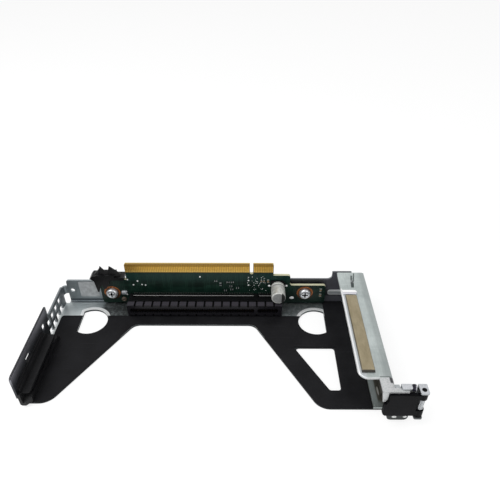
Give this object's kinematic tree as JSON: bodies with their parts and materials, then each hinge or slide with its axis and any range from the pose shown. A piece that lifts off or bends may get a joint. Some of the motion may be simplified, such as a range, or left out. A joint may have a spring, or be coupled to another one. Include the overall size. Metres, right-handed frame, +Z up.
{
  "type": "pcie riser card",
  "caption": "Riser card with a gold edge connector and an x16 slot, in a folded steel bracket with card guide, shelf and hinged card latch.",
  "frame": {"origin": "on the outer face of the bracket's plate, under the middle of the card's gold edge, in the plane of the board's front face", "axes": "+X along the card to the right as the picture shows it, +Y away from the viewer through the back wall, +Z up from the plate to the gold edge"},
  "size_m": [0.1913, 0.0879, 0.0315],
  "materials": {
    "galvanised_steel": "fine spangled zinc, satin",
    "black_film": "matt film with a faint grain",
    "board_laminate": "dark green solder mask, semi-matt",
    "gold_plating": "hard gold over nickel",
    "copper": "bare copper",
    "zinc_steel": "bright zinc plating",
    "black_resin": "glass-filled resin, matt",
    "aluminium_can": "satin can",
    "solder": "bright solder",
    "ceramic": "matt ceramic",
    "black_moulding": "fine-textured moulding",
    "conductive_cloth": "woven conductive cloth",
    "spring_wire": "drawn spring wire"
  },
  "bodies": {
    "riser": {"bracket_frame": "galvanised_steel", "rear_frame": "galvanised_steel", "insulation_film": "black_film", "riser_board": "board_laminate", "edge_contacts_front": "gold_plating", "edge_contacts_rear": "gold_plating", "ground_rings": "copper", "board_screws": "zinc_steel", "board_standoffs": "zinc_steel", "slot_housing": "black_resin", "slot_contacts_upper": "gold_plating", "slot_contacts_lower": "gold_plating", "capacitor_can": "aluminium_can", "capacitor_base": "black_resin", "capacitor_leads": "solder", "ceramic_capacitors": "ceramic", "chip_resistors": "black_resin", "chip_terminals": "solder", "test_pads": "solder", "board_clip": "black_moulding", "card_guide": "black_moulding", "emi_gasket": "conductive_cloth", "frame_rivets": "zinc_steel", "latch_bracket": "galvanised_steel", "latch_pin": "zinc_steel"},
    "latch": {"latch_body": "black_moulding", "latch_spring": "spring_wire"}
  },
  "joints": [
    {"name": "latch_hinge", "type": "hinge", "parent": "riser", "child": "latch", "pos_m": [0.1067, -0.0806, 0.015], "axis": [0, 0, 1], "range_deg": [0, 100], "stiffness_Nm_per_rad": 0.002, "springref_deg": -20.05}
  ]
}
